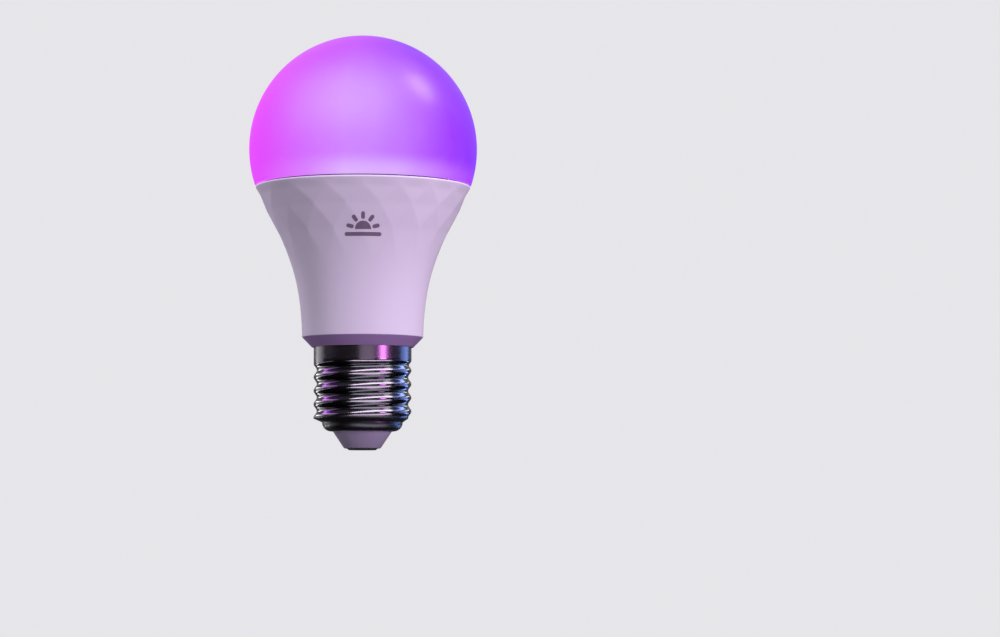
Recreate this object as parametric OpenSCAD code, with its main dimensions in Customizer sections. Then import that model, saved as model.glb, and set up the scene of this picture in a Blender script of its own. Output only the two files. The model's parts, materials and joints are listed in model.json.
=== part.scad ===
// Smart light bulb: A60 globe lamp on an E27 screw cap, with its LED board,
// radio board and driver inside. +Z runs up the lamp's axis to the diffuser's
// top, and the origin is on that axis, at the face of the centre contact.

/* [Diffuser] */
// Length from the centre contact to the diffuser's top
overall_l = 111; // [110:0.5:114]
// Diameter of the round diffuser
globe_d = 61; // [60.5:0.5:62]
// Wall of the diffuser
dome_wall = 1.5; // [1.2:0.1:1.8]
// Depth of the seam below the diffuser's centre
seam_drop = 10; // [9.5:0.25:10.5]
// Open gap at the seam
seam_gap = 0.4; // [0.2:0.1:0.6]

/* [Housing] */
// Diameter of the neck at its collar
neck_d = 32.3; // [32:0.1:34]
// Height of the collar's lower corner
collar_z = 30.1; // [29.8:0.1:30.4]
// Wall of the plastic shell
shell_wall = 1.6; // [1.4:0.05:1.65]

/* [Screw cap] */
// Diameter over the thread's crests
cap_d = 26.1; // [26.05:0.05:26.45]
// Diameter in the thread's grooves
groove_d = 24.4; // [24.3:0.02:24.66]
// Thread pitch, seven turns to the inch
cap_pitch = 3.629; // [3.6:0.001:3.66]
// Thickness of the cap's sheet metal
cap_wall = 0.4; // [0.3:0.05:0.4]

/* [Light board] */
// White lamps of each tint around the board
white_count = 8; // [4:1:9]
// Colour lamps in the inner circle
colour_count = 6; // [3:3:6]
// Screws that hold the board down
screw_count = 3; // [3:3]

/* [Hidden] */
$fn = 72;

// How far a cutting shape reaches past the face that it cuts
over = 1;
// Clearance between two pieces that are pushed together
fit_gap = 0.05;

// Globe and seam
globe_r = globe_d / 2;
globe_z = overall_l - globe_r;
seam_z = globe_z - seam_drop;
rim_r = sqrt(pow(globe_r, 2) - pow(seam_drop, 2));
dome_edge_z = seam_z + seam_gap;
dome_web = 1.1;
skirt_wall = 1.2;
shelf_z = seam_z - 3;
shelf_r = rim_r - 3.9;
socket_r = rim_r - 2.75;
skirt_r = socket_r - fit_gap;
skirt_lift = 0.1;
bead_w = 1.5;

// Flare of the housing: a cubic curve from the seam's rim to the collar
neck_r = neck_d / 2;
flare_reach = 16.6;
flare_slope = 0.44;
neck_reach = 20.4;
neck_draft = 0.028;
flare_steps = 24;
collar_chamfer = 2.6;
ledge_z = collar_z - collar_chamfer - 0.1;
floor_z = collar_z + 2.4;

// Stub of the housing, which the screw cap is pressed over
stub_z = 10;
stub_wall = 1.55;
throat_r = 11;

// Screw cap
crest_r = cap_d / 2;
groove_r = groove_d / 2;
thread_mid_r = (crest_r + groove_r) / 2;
thread_amp = (crest_r - groove_r) / 2;
thread_turns = 4;
thread_steps = 12;
thread_tail = 0.3;
band_z = ledge_z - 3.42;
step_z = 7.6;
rim_round = 2.4;
cap_rim_z = 5;
cap_rim_r = 8.35;
cap_mouth_r = cap_rim_r - 0.4;
stub_r = groove_r - cap_wall - fit_gap;
band_stub_r = crest_r - cap_wall - fit_gap;

// Insulator and centre contact
nose_z = 0.45;
nose_r = 4.85;
cone_r = cap_mouth_r - fit_gap;
insulator_top = 8;
contact_r = 4.2;
contact_flat_r = 3.6;
contact_t = 1;
stem_r = 1.5;
stem_z = 8.6;
stem_bore_r = 0.8;
stem_bore_z = 4;

// Heat sink cup and the boards on it
plate_z = shelf_z - 3;
plate_t = 1.2;
cup_wall = 1;
cup_bottom_z = 44;
pad_t = 0.2;
pad_z = plate_z + plate_t;
board_t = 1.6;
led_board_z = pad_z + pad_t;
led_board_top = led_board_z + board_t;
led_board_r = 23.8;
led_ring_r = 19;
colour_ring_r = 12.5;
screw_ring_r = 13.8;
screw_r = 1.25;
screw_head_r = 2.2;
screw_head_h = 1.3;

// Radio board, which stands through a slot in the light board
radio_w = 15;
radio_t = 1;
radio_y = -6;
radio_z = led_board_z - 9.9;
radio_h = 21;
slot_w = radio_w + 1.2;
slot_d = 2.2;
shield_size = [10, 2, 6.5];
shield_wall = 0.25;
shield_z = radio_z + 1;
copper_t = 0.1;

// Driver board, upright behind the lamp's axis
driver_y = 1.4;
driver_t = 1.2;
driver_back = driver_y + driver_t;
driver_w = 24;
driver_top = 60;
driver_shoulder_z = floor_z + 0.5;
tail_w = 17;
tail_z = 14;
lead_r = 0.3;
wire_r = 0.6;

// Pin header between the two boards
pin_count = 5;
pin_pitch = 2.5;
pin_w = 0.64;
pin_y = 0.1;
header_w = pin_count * pin_pitch;
window_w = header_w + 0.6;
window_d = 2.8;

// Transformer, with its middle leg upright
transformer_at = [-4.5, -4.2, 41.5];
core_size = [10.4, 5, 11];
leg_w = 2.8;
core_window = [2.9, 7.6];
flange_size = [8, 10.6];
spool_gap = 0.1;
spool_wall = 0.5;
spool_h = core_window[1] - 2 * spool_gap;
flange_t = 0.6;

// A point on the cubic curve through p[0] and p[3] with handles p[1] and p[2]
function cubic(p, t) =
  pow(1 - t, 3) * p[0] + 3 * t * pow(1 - t, 2) * p[1]
  + 3 * t * t * (1 - t) * p[2] + pow(t, 3) * p[3];

// The housing's outer line from the seam down to the collar, moved inwards
function flare_line(inset) =
  let (
    rim = [rim_r, seam_z],
    collar = [neck_r, collar_z],
    handles = [
      rim, rim - flare_reach * [flare_slope, 1],
      collar + neck_reach * [neck_draft, 1], collar
    ]
  )
  [for (i = [0 : flare_steps]) cubic(handles, i / flare_steps) - [inset, 0]];

// Radius of the cap's round thread at height z, sheet moved inwards by inset
function thread_r(z, inset) =
  thread_mid_r + thread_amp * cos(360 * (band_z - z) / cap_pitch) - inset;

function thread_line(inset) =
  let (last = thread_turns * thread_steps + thread_tail * thread_steps)
  [
    for (i = [0 : last])
      let (z = band_z - i * cap_pitch / thread_steps)
      [thread_r(z, inset), z]
  ];

// Arc of radius r about the cap's bottom corner, between two angles
function corner_arc(r, from, to, steps = 8) = [
  for (i = [0 : steps])
    let (a = from + (to - from) * i / steps)
    [cap_rim_r + r * cos(a), cap_rim_z + rim_round + r * sin(a)]
];

module slab(low, high, r = globe_d) {
  translate([0, 0, low]) cylinder(h = high - low, r = r);
}

module block(size, at) {
  translate(at - [size[0] / 2, 0, 0]) cube(size);
}

// Solid bounded by the housing's outer line moved inwards
module flare_solid(inset) {
  rotate_extrude() polygon(concat([[0, seam_z]], flare_line(inset), [[0, collar_z]]));
}

// A lead that leaves a part and turns into the board's front or back face
module bent_lead(x, y, z_part, z_turn, board_y) {
  low = min(z_part, z_turn);
  high = max(z_part, z_turn);
  translate([x, y, low]) cylinder(h = high - low, r = lead_r, $fn = 24);
  translate([x, min(y, board_y), z_turn]) rotate([-90, 0, 0])
    cylinder(h = abs(board_y - y), r = lead_r, $fn = 24);
  translate([x, y, z_turn]) sphere(r = 1.05 * lead_r, $fn = 24);
}

// Insulated wire through a list of points
module wire(points) {
  for (i = [0 : len(points) - 2]) {
    step = points[i + 1] - points[i];
    turn = [0, acos(step[2] / norm(step)), atan2(step[1], step[0])];
    translate(points[i]) rotate(turn) cylinder(h = norm(step), r = wire_r, $fn = 24);
  }
  for (i = [1 : len(points) - 2])
    translate(points[i]) sphere(r = 1.05 * wire_r, $fn = 24);
}

module diffuser_dome() {
  color("plum") {
    difference() {
      translate([0, 0, globe_z]) sphere(r = globe_r);
      translate([0, 0, globe_z]) sphere(r = globe_r - dome_wall);
      slab(-over, dome_edge_z + dome_web);
    }
    difference() {
      intersection() {
        translate([0, 0, globe_z]) sphere(r = globe_r);
        slab(dome_edge_z, dome_edge_z + dome_web);
      }
      slab(dome_edge_z - over, seam_z + dome_web + over, skirt_r - skirt_wall);
    }
    difference() {
      slab(shelf_z + skirt_lift, dome_edge_z, skirt_r);
      slab(shelf_z - over, dome_edge_z + over, skirt_r - skirt_wall);
    }
  }
}

// Bead of silicone in the seam, set back from the outer face
module sealant_ring() {
  color("gainsboro") difference() {
    slab(seam_z, dome_edge_z, socket_r + bead_w);
    slab(seam_z - over, dome_edge_z + over, socket_r);
  }
}

module housing_shell() {
  stub = [
    [neck_r - collar_chamfer, ledge_z], [band_stub_r, ledge_z], [band_stub_r, band_z],
    [stub_r, band_z - 1], [stub_r, stub_z], [0, stub_z]
  ];
  throat = [
    [0, stub_z - over], [stub_r - stub_wall, stub_z - over], [stub_r - stub_wall, band_z],
    [throat_r, band_z + 1], [throat_r, floor_z - 3.5], [neck_r - 2.25, floor_z],
    [0, floor_z]
  ];
  color("thistle") difference() {
    rotate_extrude() polygon(concat([[0, seam_z]], flare_line(0), stub));
    rotate_extrude() polygon(throat);
    intersection() {
      flare_solid(shell_wall);
      slab(floor_z, shelf_z + over, shelf_r);
    }
    slab(shelf_z, seam_z + over, socket_r);
  }
}

// Pressed sheet-metal cap: plain band, round thread and turned-in rim
module screw_shell() {
  outside = concat([[crest_r, ledge_z]], thread_line(0), corner_arc(rim_round, 0, -90));
  inside = concat(
    corner_arc(rim_round - cap_wall, -90, 0),
    [for (i = [thread_turns * thread_steps + 2 : -1 : 0]) thread_line(cap_wall)[i]],
    [[crest_r - cap_wall, ledge_z]]
  );
  mouth = [[cap_mouth_r, cap_rim_z], [cap_mouth_r, cap_rim_z + cap_wall]];
  color("dimgray") rotate_extrude() polygon(concat(outside, mouth, inside));
}

module cap_insulator() {
  flange = corner_arc(rim_round - cap_wall - 2 * fit_gap, -85, -15);
  top_r = flange[len(flange) - 1][0];
  outline = concat(
    [[contact_r + fit_gap, nose_z], [nose_r, nose_z], [cone_r, cap_rim_z]],
    [[cone_r, flange[0][1]]], flange,
    [[top_r, insulator_top], [stem_r + fit_gap, insulator_top]],
    [[stem_r + fit_gap, contact_t], [contact_r + fit_gap, contact_t]]
  );
  color("slategray") rotate_extrude() polygon(outline);
}

// Contact button with the hollow stem that the live wire is soldered into
module centre_contact() {
  outline = [
    [0, 0], [contact_flat_r, 0], [contact_r, nose_z], [contact_r, contact_t],
    [stem_r, contact_t], [stem_r, stem_z], [stem_bore_r, stem_z],
    [stem_bore_r, stem_bore_z], [0, stem_bore_z]
  ];
  color("silver") rotate_extrude() polygon(outline);
}

// Openings for the radio board and the pins, cut through everything they pass
module board_windows() {
  low = plate_z - over;
  h = led_board_top + over - low;
  block([slot_w, slot_d, h], [0, radio_y - slot_d / 2, low]);
  block([window_w, window_d, h], [0, pin_y - window_d / 2, low]);
}

module at_screws() {
  for (i = [0 : screw_count - 1]) rotate(30 + i * 360 / screw_count)
    translate([screw_ring_r, 0, 0]) children();
}

module heat_sink_cup() {
  color("lightsteelblue") difference() {
    intersection() {
      flare_solid(shell_wall + fit_gap);
      slab(cup_bottom_z, plate_z + plate_t, shelf_r - fit_gap);
    }
    intersection() {
      flare_solid(shell_wall + fit_gap + cup_wall);
      slab(cup_bottom_z - over, plate_z);
    }
    board_windows();
    at_screws() slab(plate_z - over, plate_z + plate_t + over, screw_r + fit_gap);
  }
}

module thermal_pad() {
  color("lightpink") difference() {
    slab(pad_z, led_board_z, led_board_r - 0.4);
    board_windows();
    at_screws() slab(pad_z - over, led_board_z + over, screw_r + 0.5);
  }
}

module led_board() {
  color("ivory") difference() {
    slab(led_board_z, led_board_top, led_board_r);
    board_windows();
    at_screws() slab(led_board_z - over, led_board_top + over, screw_r + 0.15);
  }
}

// White lamp: a body with a shallow round window raised on it
module white_lamp() {
  translate([-1.4, -1.75, led_board_top]) cube([2.8, 3.5, 0.6]);
  translate([0, 0, led_board_top + 0.6]) cylinder(h = 0.12, r = 1.15);
}

module white_lamps(start) {
  for (i = [0 : white_count - 1]) rotate(start + i * 360 / white_count)
    translate([led_ring_r, 0, 0]) white_lamp();
}

module warm_leds() {
  color("orange") white_lamps(180 / white_count);
}

module cool_leds() {
  color("lightcyan") white_lamps(0);
}

module colour_leds() {
  color("hotpink") for (i = [0 : colour_count - 1]) rotate(i * 360 / colour_count)
    translate([colour_ring_r, 0, 0]) {
      translate([-2.5, -2.5, led_board_top]) cube([5, 5, 1.4]);
      translate([0, 0, led_board_top + 1.4]) cylinder(h = 0.1, r = 2);
    }
}

// Chip with a row of legs on either side, lying on a board that faces +Z
module small_chip(size, legs) {
  leg_pitch = 1.27;
  leg_w = 0.42;
  leg_reach = 0.9;
  translate([-size[0] / 2, -size[1] / 2, 0.1]) cube([size[0], size[1], size[2]]);
  for (turn = [0, 180], i = [0 : legs - 1]) rotate(turn)
    translate([(i - (legs - 1) / 2) * leg_pitch - leg_w / 2, size[1] / 2 - 0.2, 0])
      cube([leg_w, leg_reach + 0.2, 0.25]);
}

module colour_driver_chip() {
  color("darkslategray") translate([0, 7.6, led_board_top]) small_chip([4.9, 3.8, 1.4], 4);
}

module board_screws() {
  color("lightgray") at_screws() difference() {
    union() {
      slab(led_board_top, led_board_top + screw_head_h, screw_head_r);
      slab(plate_z - 1.5, led_board_top + screw_head_h / 2, screw_r);
    }
    for (turn = [0, 90]) rotate(turn)
      block([2.6, 0.6, over], [0, -0.3, led_board_top + screw_head_h - 0.6]);
  }
}

module pin_places() {
  for (i = [0 : pin_count - 1])
    translate([(i - (pin_count - 1) / 2) * pin_pitch, pin_y, 0]) children();
}

module board_socket() {
  socket_h = 3.4;
  color("white") difference() {
    block([header_w + 0.2, 3.4, socket_h], [0, pin_y - 1.7, led_board_top]);
    pin_places() block([0.8, 0.8, socket_h + 2 * over], [0, -0.4, led_board_top - over]);
  }
}

// Strip on the driver board whose pins reach up into the socket
module pin_header() {
  strip_z = driver_top - 5;
  pin_low = strip_z - 1.5;
  pin_top = led_board_top + 2.4;
  color("goldenrod") {
    block([header_w, driver_y - pin_y + 1.2, 2.5], [0, pin_y - 1.2, strip_z]);
    pin_places() block([pin_w, pin_w, pin_top - pin_low], [0, -pin_w / 2, pin_low]);
  }
}

module radio_board() {
  color("seagreen") block([radio_w, radio_t, radio_h], [0, radio_y - radio_t / 2, radio_z]);
}

module radio_chip() {
  color("black")
    block([5, 0.85, 5], [0, radio_y + radio_t / 2, shield_z + (shield_size[2] - 5) / 2]);
}

// Pressed metal can over the radio chip, open towards the radio board
module radio_shield() {
  face_y = radio_y + radio_t / 2;
  cavity = shield_size + [-2 * shield_wall, over - shield_wall, -2 * shield_wall];
  color("silver") difference() {
    block(shield_size, [0, face_y, shield_z]);
    block(cavity, [0, face_y - over, shield_z + shield_wall]);
  }
}

module radio_crystal() {
  color("gainsboro")
    block([3.2, 0.8, 2.5], [-3.5, radio_y - radio_t / 2 - 0.8, shield_z + 1.5]);
}

// Folded copper track on the radio board's top, above the light board
module radio_antenna() {
  track_w = 0.6;
  fold_h = 4.2;
  folds = 6;
  fold_pitch = 2;
  track_z = radio_z + radio_h - fold_h - 0.8;
  start_x = -folds * fold_pitch / 2;
  face_y = radio_y - radio_t / 2 - copper_t;
  color("peru") {
    for (i = [0 : folds]) translate([start_x + i * fold_pitch - track_w / 2, face_y, track_z])
      cube([track_w, copper_t, fold_h]);
    for (i = [0 : folds - 1]) {
      turn_z = i % 2 == 0 ? track_z + fold_h - track_w : track_z;
      translate([start_x + i * fold_pitch - track_w / 2, face_y, turn_z])
        cube([fold_pitch + track_w, copper_t, track_w]);
    }
  }
}

// Rolled film that keeps the driver clear of the metal cup
module insulating_sleeve() {
  sleeve_r = neck_r - 1.95;
  color("lightyellow") difference() {
    slab(floor_z, driver_top + 2, sleeve_r);
    slab(floor_z - over, driver_top + 2 + over, sleeve_r - 0.5);
  }
}

module driver_board() {
  color("forestgreen") {
    block([driver_w, driver_t, driver_top - driver_shoulder_z], [0, driver_y, driver_shoulder_z]);
    block([tail_w, driver_t, driver_shoulder_z - tail_z], [0, driver_y, tail_z]);
  }
}

// Upright can with a rolled groove near its leads and a scored top
module can_capacitor(r, h) {
  groove_z = 1.6;
  difference() {
    cylinder(h = h, r = r);
    translate([0, 0, groove_z]) rotate_extrude() translate([r + 0.15, 0]) circle(r = 0.5, $fn = 24);
    for (turn = [0, 90]) rotate(turn) block([1.4 * r, 0.3, over], [0, -0.15, h - 0.2]);
  }
}

module bulk_capacitor() {
  can_h = 12;
  top_z = 25.5;
  y = -2.9;
  color("midnightblue") {
    translate([0, y, top_z]) rotate([180, 0, 0]) can_capacitor(4, can_h);
    for (x = [-1.75, 1.75]) bent_lead(x, y, top_z - 0.2, top_z + 2, driver_y);
  }
}

module output_capacitor() {
  at = [7.2, -4.5, 37];
  color("darkgreen") {
    translate(at) can_capacitor(3.15, 11);
    for (x = [-1.25, 1.25]) bent_lead(at[0] + x, at[1], at[2] + 0.2, at[2] - 1.5, driver_y);
  }
}

module transformer_core() {
  window = [core_window[0], core_size[1] + 2 * over, core_window[1]];
  color("darkgray") translate(transformer_at) difference() {
    block(core_size, [0, -core_size[1] / 2, -core_size[2] / 2]);
    for (side = [-1, 1])
      block(window, [side * (leg_w + core_window[0]) / 2, -window[1] / 2, -core_window[1] / 2]);
  }
}

// Spool around the middle leg
module transformer_bobbin() {
  tube = [leg_w + 2 * (spool_gap + spool_wall), core_size[1] + 2 * (spool_gap + spool_wall)];
  hole = [leg_w + 2 * spool_gap, core_size[1] + 2 * spool_gap];
  color("khaki") translate(transformer_at) difference() {
    union() {
      block([tube[0], tube[1], spool_h], [0, -tube[1] / 2, -spool_h / 2]);
      for (z = [-spool_h / 2, spool_h / 2 - flange_t])
        block([flange_size[0], flange_size[1], flange_t], [0, -flange_size[1] / 2, z]);
    }
    block([hole[0], hole[1], spool_h + 2 * over], [0, -hole[1] / 2, -spool_h / 2 - over]);
  }
}

// Copper winding between the spool's flanges
module transformer_winding() {
  corner = 0.9;
  h = spool_h - 2 * flange_t - 2 * spool_gap;
  outer = [flange_size[0] - 0.6, flange_size[1] - 1];
  inner = [leg_w + 2 * (2 * spool_gap + spool_wall), core_size[1] + 2 * (2 * spool_gap + spool_wall)];
  color("orangered") translate(transformer_at) difference() {
    union() {
      block([outer[0], outer[1] - 2 * corner, h], [0, -outer[1] / 2 + corner, -h / 2]);
      block([outer[0] - 2 * corner, outer[1], h], [0, -outer[1] / 2, -h / 2]);
      for (x = [-1, 1], y = [-1, 1])
        translate([x * (outer[0] / 2 - corner), y * (outer[1] / 2 - corner), -h / 2])
          cylinder(h = h, r = corner, $fn = 32);
    }
    block([inner[0], inner[1], h + 2 * over], [0, -inner[1] / 2, -h / 2 - over]);
  }
}

// Drum inductor in its shrunk tube
module filter_inductor() {
  at = [7, -4.8, 49.4];
  color("indigo") {
    translate(at) difference() {
      cylinder(h = 5.2, r = 3);
      translate([0, 0, 2.6]) rotate_extrude() translate([3.4, 0]) circle(r = 0.9, $fn = 32);
    }
    for (x = [-1.5, 1.5]) bent_lead(at[0] + x, at[1], at[2] + 0.2, at[2] - 0.9, driver_y);
  }
}

module film_capacitor() {
  low = [0, driver_back + 0.6, 36];
  color("gold") {
    block([10, 4.5, 9], low);
    for (x = [-3.75, 3.75]) translate([x, driver_back, low[2] + 4.5]) rotate([-90, 0, 0])
      cylinder(h = 0.8, r = lead_r, $fn = 24);
  }
}

module surge_varistor() {
  at = [3.2, driver_back + 0.8, 24];
  color("royalblue") {
    translate(at) rotate([-90, 0, 0]) cylinder(h = 3.2, r = 3.4);
    for (x = [-2, 2]) translate([at[0] + x, driver_back, at[2]]) rotate([-90, 0, 0])
      cylinder(h = 1, r = lead_r, $fn = 24);
  }
}

module fusible_resistor() {
  at = [6.3, -0.8, 18];
  body_h = 9;
  end_h = 1.6;
  color("darkseagreen") {
    translate(at) cylinder(h = body_h, r = 1.35);
    for (z = [0, body_h - end_h]) translate(at + [0, 0, z]) cylinder(h = end_h, r = 1.6);
    bent_lead(at[0], at[1], at[2] + 0.2, at[2] - 1, driver_y);
    bent_lead(at[0], at[1], at[2] + body_h - 0.2, at[2] + body_h + 1, driver_y);
  }
}

// Turns a chip that lies flat to sit on the back of the driver board
module on_driver_back(x, z) {
  translate([x, driver_back, z]) rotate([-90, 0, 0]) children();
}

module bridge_rectifier() {
  color("black") on_driver_back(-5.4, 29.4) small_chip([4.8, 3.6, 2.4], 2);
}

module output_diode() {
  color("dimgray") on_driver_back(-6, 51.5) small_chip([4.3, 2.6, 2.1], 1);
}

module driver_chip() {
  color("black") on_driver_back(4.4, 51) small_chip([4.9, 3.8, 1.4], 4);
}

// A row of plain chips on the back of the driver board
module chip_row(count, pitch, size, z) {
  for (i = [0 : count - 1])
    block([size[0], size[2], size[1]], [(i - (count - 1) / 2) * pitch, driver_back, z]);
}

module chip_resistors() {
  color("black") chip_row(6, 3.2, [2, 1.25, 0.5], 57);
}

module chip_capacitors() {
  color("tan") chip_row(4, 5, [3.2, 1.6, 1], 46.2);
}

// Wire from the contact's stem to the driver board's lower end
module live_wire() {
  y = driver_y - wire_r;
  color("red") wire([[0, 0, stem_bore_z + 0.3], [0, 0, 10.5], [5, y, 13], [5, y, 16.2]]);
}

// Wire from the driver board out to the cap's side
module neutral_wire() {
  y = driver_y - wire_r;
  color("ghostwhite") wire([[-6, y, 18], [-6, y, 11.4], [-8, 0, 9.2], [-11.6, 0, 9.2]]);
}

diffuser_dome();
sealant_ring();
housing_shell();
screw_shell();
cap_insulator();
centre_contact();
heat_sink_cup();
thermal_pad();
led_board();
warm_leds();
cool_leds();
colour_leds();
colour_driver_chip();
board_screws();
board_socket();
pin_header();
radio_board();
radio_chip();
radio_shield();
radio_crystal();
radio_antenna();
insulating_sleeve();
driver_board();
bulk_capacitor();
output_capacitor();
transformer_core();
transformer_bobbin();
transformer_winding();
filter_inductor();
film_capacitor();
surge_varistor();
fusible_resistor();
bridge_rectifier();
output_diode();
driver_chip();
chip_resistors();
chip_capacitors();
live_wire();
neutral_wire();
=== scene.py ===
import json
import math

import bmesh
import bpy
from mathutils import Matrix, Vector
from mathutils.bvhtree import BVHTree


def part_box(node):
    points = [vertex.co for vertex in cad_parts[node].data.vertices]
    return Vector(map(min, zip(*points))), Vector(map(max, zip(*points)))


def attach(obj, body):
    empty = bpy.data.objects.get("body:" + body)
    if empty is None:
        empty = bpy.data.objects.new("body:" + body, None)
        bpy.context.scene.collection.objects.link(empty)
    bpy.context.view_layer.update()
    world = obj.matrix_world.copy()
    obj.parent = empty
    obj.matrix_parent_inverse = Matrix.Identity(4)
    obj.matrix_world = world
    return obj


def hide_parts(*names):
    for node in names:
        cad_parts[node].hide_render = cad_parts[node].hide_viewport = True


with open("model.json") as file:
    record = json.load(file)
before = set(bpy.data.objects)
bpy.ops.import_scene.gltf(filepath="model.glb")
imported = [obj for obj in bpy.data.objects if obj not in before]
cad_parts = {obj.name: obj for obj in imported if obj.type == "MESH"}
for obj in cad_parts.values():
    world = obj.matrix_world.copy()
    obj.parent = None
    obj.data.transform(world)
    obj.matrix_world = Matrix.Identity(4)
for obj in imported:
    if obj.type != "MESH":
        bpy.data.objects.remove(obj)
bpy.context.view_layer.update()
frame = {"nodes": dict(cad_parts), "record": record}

# ---------------------------------------------------------------- sizes, in metres

MM = 0.001
SAME_POINT = 1e-7
ON_AXIS = 1e-9

dome_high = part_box("diffuser_dome")[1]
housing_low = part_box("housing_shell")[0]
cap_low, cap_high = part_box("screw_shell")
nose_low, nose_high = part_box("cap_insulator")
bead_low, bead_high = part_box("sealant_ring")
contact_low, contact_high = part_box("centre_contact")
mounts = {m["name"]: m["dims"] for m in frame["record"]["mounts"]}

GLOBE_R = 30.49 * MM
GLOBE_Z = dome_high.z - 30.5 * MM
DOME_WALL = 1.5 * MM
DOME_EDGE_Z = bead_high.z
DOME_WEB = 1.1 * MM
SKIRT_WALL = 1.2 * MM

SEAM_Z = bead_low.z
RIM_R = 28.8 * MM
SOCKET_R = RIM_R - 2.74 * MM
SKIRT_R = SOCKET_R - 0.05 * MM
SHELF_R = RIM_R - 3.9 * MM
SHELF_Z = SEAM_Z - 3 * MM
SHELL_WALL = 1.6 * MM
NECK_R = 16.15 * MM
COLLAR_Z = 30.1 * MM
LEDGE_Z = cap_high.z
LEDGE_R = NECK_R - 2.6 * MM
FLOOR_Z = COLLAR_Z + 2.4 * MM
STUB_Z = housing_low.z
STUB_R = 11.75 * MM
STUB_WALL = 1.55 * MM
THROAT_R = 11 * MM
PRESS_GAP = 0.06 * MM

CREST_R = mounts["screw_cap"]["r_mm"] * MM
THREAD_DEPTH = 0.85 * MM
THREAD_PITCH = 3.629 * MM
CAP_WALL = 0.4 * MM
BAND_Z = LEDGE_Z - mounts["screw_cap"]["length_mm"] * MM
CAP_STEP_Z = 8.4 * MM
CAP_RIM_Z = cap_low.z
CAP_RIM_R = 8.35 * MM
CAP_ROUND = 2.4 * MM

CONTACT_BACK_Z = 1 * MM
CONTACT_STEM_R = 1.5 * MM

# ---------------------------------------------------------------- node arithmetic


class Value:
    """A number that runs through a node tree. Python's operators on it add Math nodes."""

    def __init__(self, nodes, socket):
        self.nodes = nodes
        self.socket = socket

    def _math(self, operation, other, swap=False):
        terms = (other, self) if swap else (self, other)
        return self.nodes.maths(operation, *terms)

    def __add__(self, other):
        return self._math("ADD", other)

    __radd__ = __add__

    def __sub__(self, other):
        return self._math("SUBTRACT", other)

    def __rsub__(self, other):
        return self._math("SUBTRACT", other, swap=True)

    def __mul__(self, other):
        return self._math("MULTIPLY", other)

    __rmul__ = __mul__

    def __truediv__(self, other):
        return self._math("DIVIDE", other)

    def __rtruediv__(self, other):
        return self._math("DIVIDE", other, swap=True)

    def __pow__(self, other):
        return self._math("POWER", other)

    def __neg__(self):
        return self._math("MULTIPLY", -1)


class Nodes:
    """Adds nodes to one tree, in a shader or in Geometry Nodes."""

    def __init__(self, tree):
        self.tree = tree
        tree.nodes.clear()

    def add(self, kind, settings=None, inputs=None):
        """Adds a node, sets what it is, and then gives its sockets values or links."""
        made = self.tree.nodes.new(kind)
        for name, setting in (settings or {}).items():
            if name == "stops":
                self._set_stops(made.color_ramp, setting)
            else:
                setattr(made, name, setting)
        for name, given in (inputs or {}).items():
            socket = made.inputs[name]
            if isinstance(given, Value):
                self.tree.links.new(given.socket, socket)
            elif isinstance(given, bpy.types.NodeSocket):
                self.tree.links.new(given, socket)
            else:
                socket.default_value = given
        return made

    @staticmethod
    def _set_stops(ramp, stops):
        while len(ramp.elements) < len(stops):
            ramp.elements.new(1.0)
        for element, (place, colour) in zip(ramp.elements, stops):
            element.position = place
            element.color = colour

    def value(self, kind, settings=None, inputs=None, out=0):
        """Adds a node and gives one of its outputs as a number to reckon with."""
        return Value(self, self.add(kind, settings, inputs).outputs[out])

    def maths(self, operation, *terms):
        """Adds a Math node on these terms."""
        inputs = dict(enumerate(terms))
        return self.value("ShaderNodeMath", {"operation": operation}, inputs)

    def split(self, vector):
        """The X, Y and Z of a vector."""
        parts = self.add("ShaderNodeSeparateXYZ", None, {0: vector})
        return [Value(self, socket) for socket in parts.outputs]

    def step(self, amount, low, high, smooth=True):
        """0 where amount is at low, 1 where it is at high."""
        settings = {"interpolation_type": "SMOOTHSTEP" if smooth else "LINEAR", "clamp": True}
        inputs = {"Value": amount, "From Min": low, "From Max": high}
        return self.value("ShaderNodeMapRange", settings, inputs)


def axis_distance(x, y):
    """How far a point lies from the lamp's upright axis."""
    return (x * x + y * y) ** 0.5


class Shading(Nodes):
    """The nodes of one material, which end in a Principled shader."""

    def __init__(self, name):
        self.material = bpy.data.materials.new(name)
        self.material.use_nodes = True
        super().__init__(self.material.node_tree)
        self.place = self.add("ShaderNodeTexCoord").outputs["Object"]

    def mapped(self, scale):
        """The place on the piece, stretched where the scale is below 1."""
        inputs = {"Vector": self.place, "Scale": scale}
        return self.add("ShaderNodeMapping", None, inputs).outputs[0]

    def noise(self, size, detail=3.0, rough=0.55, at=None):
        """Soft noise whose blotches are about size metres across."""
        inputs = {
            "Vector": at or self.place,
            "Scale": 1 / size,
            "Detail": detail,
            "Roughness": rough,
        }
        return self.value("ShaderNodeTexNoise", {"noise_dimensions": "3D"}, inputs)

    def mix(self, share, first, second):
        """A colour that goes from the first to the second as share goes from 0 to 1."""
        settings = {"data_type": "RGBA", "clamp_factor": True}
        return self.add("ShaderNodeMix", settings, {0: share, 6: first, 7: second}).outputs[2]

    def ramp(self, amount, stops):
        return self.add("ShaderNodeValToRGB", {"stops": stops}, {0: amount}).outputs[0]

    def bump(self, height, depth, under=None):
        """Relief whose height runs from 0 to 1 over depth metres."""
        inputs = {"Height": height, "Distance": depth, "Strength": 1.0}
        if under is not None:
            inputs["Normal"] = under
        return self.add("ShaderNodeBump", None, inputs).outputs[0]

    def finish(self, **sockets):
        """Adds the Principled shader with these sockets, and gives the material."""
        inputs = {name.replace("_", " "): given for name, given in sockets.items()}
        shader = self.add("ShaderNodeBsdfPrincipled", None, inputs)
        self.add("ShaderNodeOutputMaterial", None, {"Surface": shader.outputs[0]})
        return self.material


def rgba(red, green, blue):
    return (red, green, blue, 1.0)


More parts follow.
